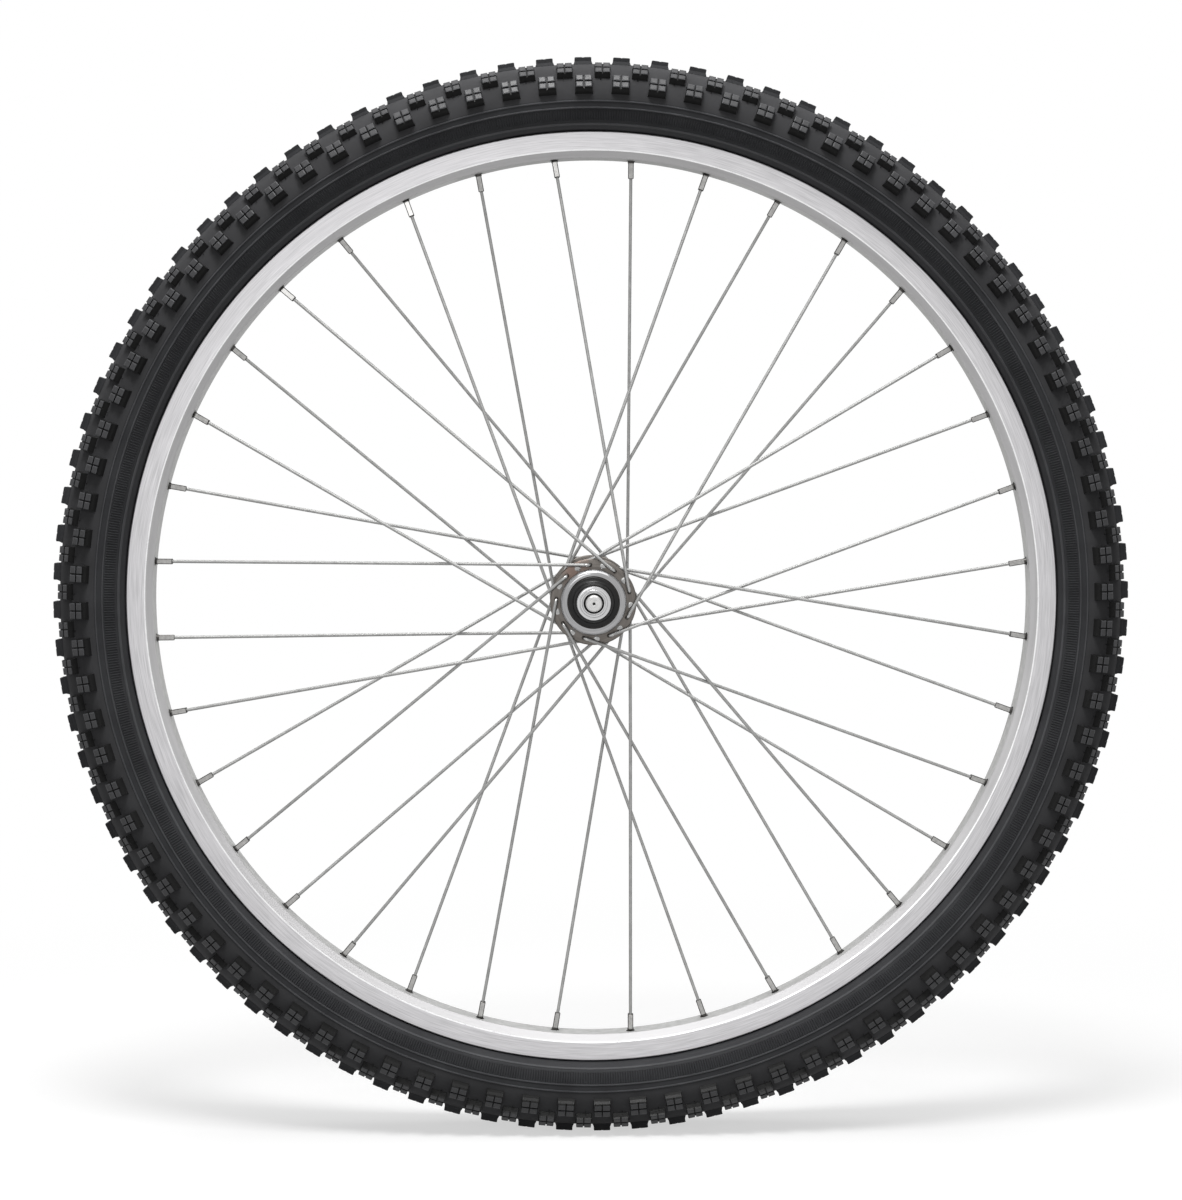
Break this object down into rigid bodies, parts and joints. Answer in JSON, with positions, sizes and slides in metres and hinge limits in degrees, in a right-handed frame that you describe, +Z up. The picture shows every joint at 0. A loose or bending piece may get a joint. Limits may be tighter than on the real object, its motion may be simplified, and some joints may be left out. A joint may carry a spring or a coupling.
{
  "type": "bicycle wheel",
  "caption": "Spoked bicycle wheel: knobby tyre on an alloy rim, tangent-laced wire spokes with nipples, and a hub that turns on a solid axle.",
  "frame": {"origin": "centre of the wheel, on the axle line and midway between the locknut faces", "axes": "+Y along the axle, about which the wheel spins, from the left side to the right side; +Z up"},
  "size_m": [0.6622, 0.109, 0.6622],
  "materials": {
    "tyre_rubber": "matt moulded rubber",
    "tube_rubber": "smooth butyl rubber",
    "tape": "rubber strip",
    "rim_alloy": "satin, with machined braking sides",
    "hub_alloy": "dull grey",
    "axle_steel": "turned steel",
    "spoke_steel": "drawn stainless wire",
    "nipple_brass": "nickel plated",
    "bearing_steel": "ground steel",
    "cap_chrome": "polished plate",
    "seal_rubber": "smooth black rubber",
    "locknut_steel": "bright turned face"
  },
  "bodies": {
    "axle_set": {"axle": "axle_steel", "left_cone": "bearing_steel", "left_spacer": "axle_steel", "left_locknut": "locknut_steel", "left_seal": "seal_rubber", "right_cone": "bearing_steel", "right_spacer": "axle_steel", "right_locknut": "locknut_steel", "right_seal": "seal_rubber"},
    "wheel": {"tyre": "tyre_rubber", "inner_tube": "tube_rubber", "rim_tape": "tape", "rim": "rim_alloy", "hub_shell": "hub_alloy", "left_outer_spokes": "spoke_steel", "left_inner_spokes": "spoke_steel", "right_outer_spokes": "spoke_steel", "right_inner_spokes": "spoke_steel", "left_nipples": "nipple_brass", "left_bearing_cup": "bearing_steel", "left_dust_cap": "cap_chrome", "right_nipples": "nipple_brass", "right_bearing_cup": "bearing_steel", "right_dust_cap": "cap_chrome"},
    "left_ball_set": {"left_balls": "bearing_steel"},
    "right_ball_set": {"right_balls": "bearing_steel"}
  },
  "joints": [
    {"name": "wheel_spin", "type": "hinge", "parent": "axle_set", "child": "wheel", "pos_m": [0, 0, 0], "axis": [0, 1, 0], "continuous": true},
    {"name": "left_ball_orbit", "type": "hinge", "parent": "axle_set", "child": "left_ball_set", "pos_m": [0, -0.034, 0], "axis": [0, 1, 0], "continuous": true},
    {"name": "right_ball_orbit", "type": "hinge", "parent": "axle_set", "child": "right_ball_set", "pos_m": [0, 0.034, 0], "axis": [0, 1, 0], "continuous": true}
  ],
  "couplings": [
    {"joint": "left_ball_orbit", "follows": "wheel_spin", "ratio": 0.6157},
    {"joint": "right_ball_orbit", "follows": "wheel_spin", "ratio": 0.6157}
  ]
}
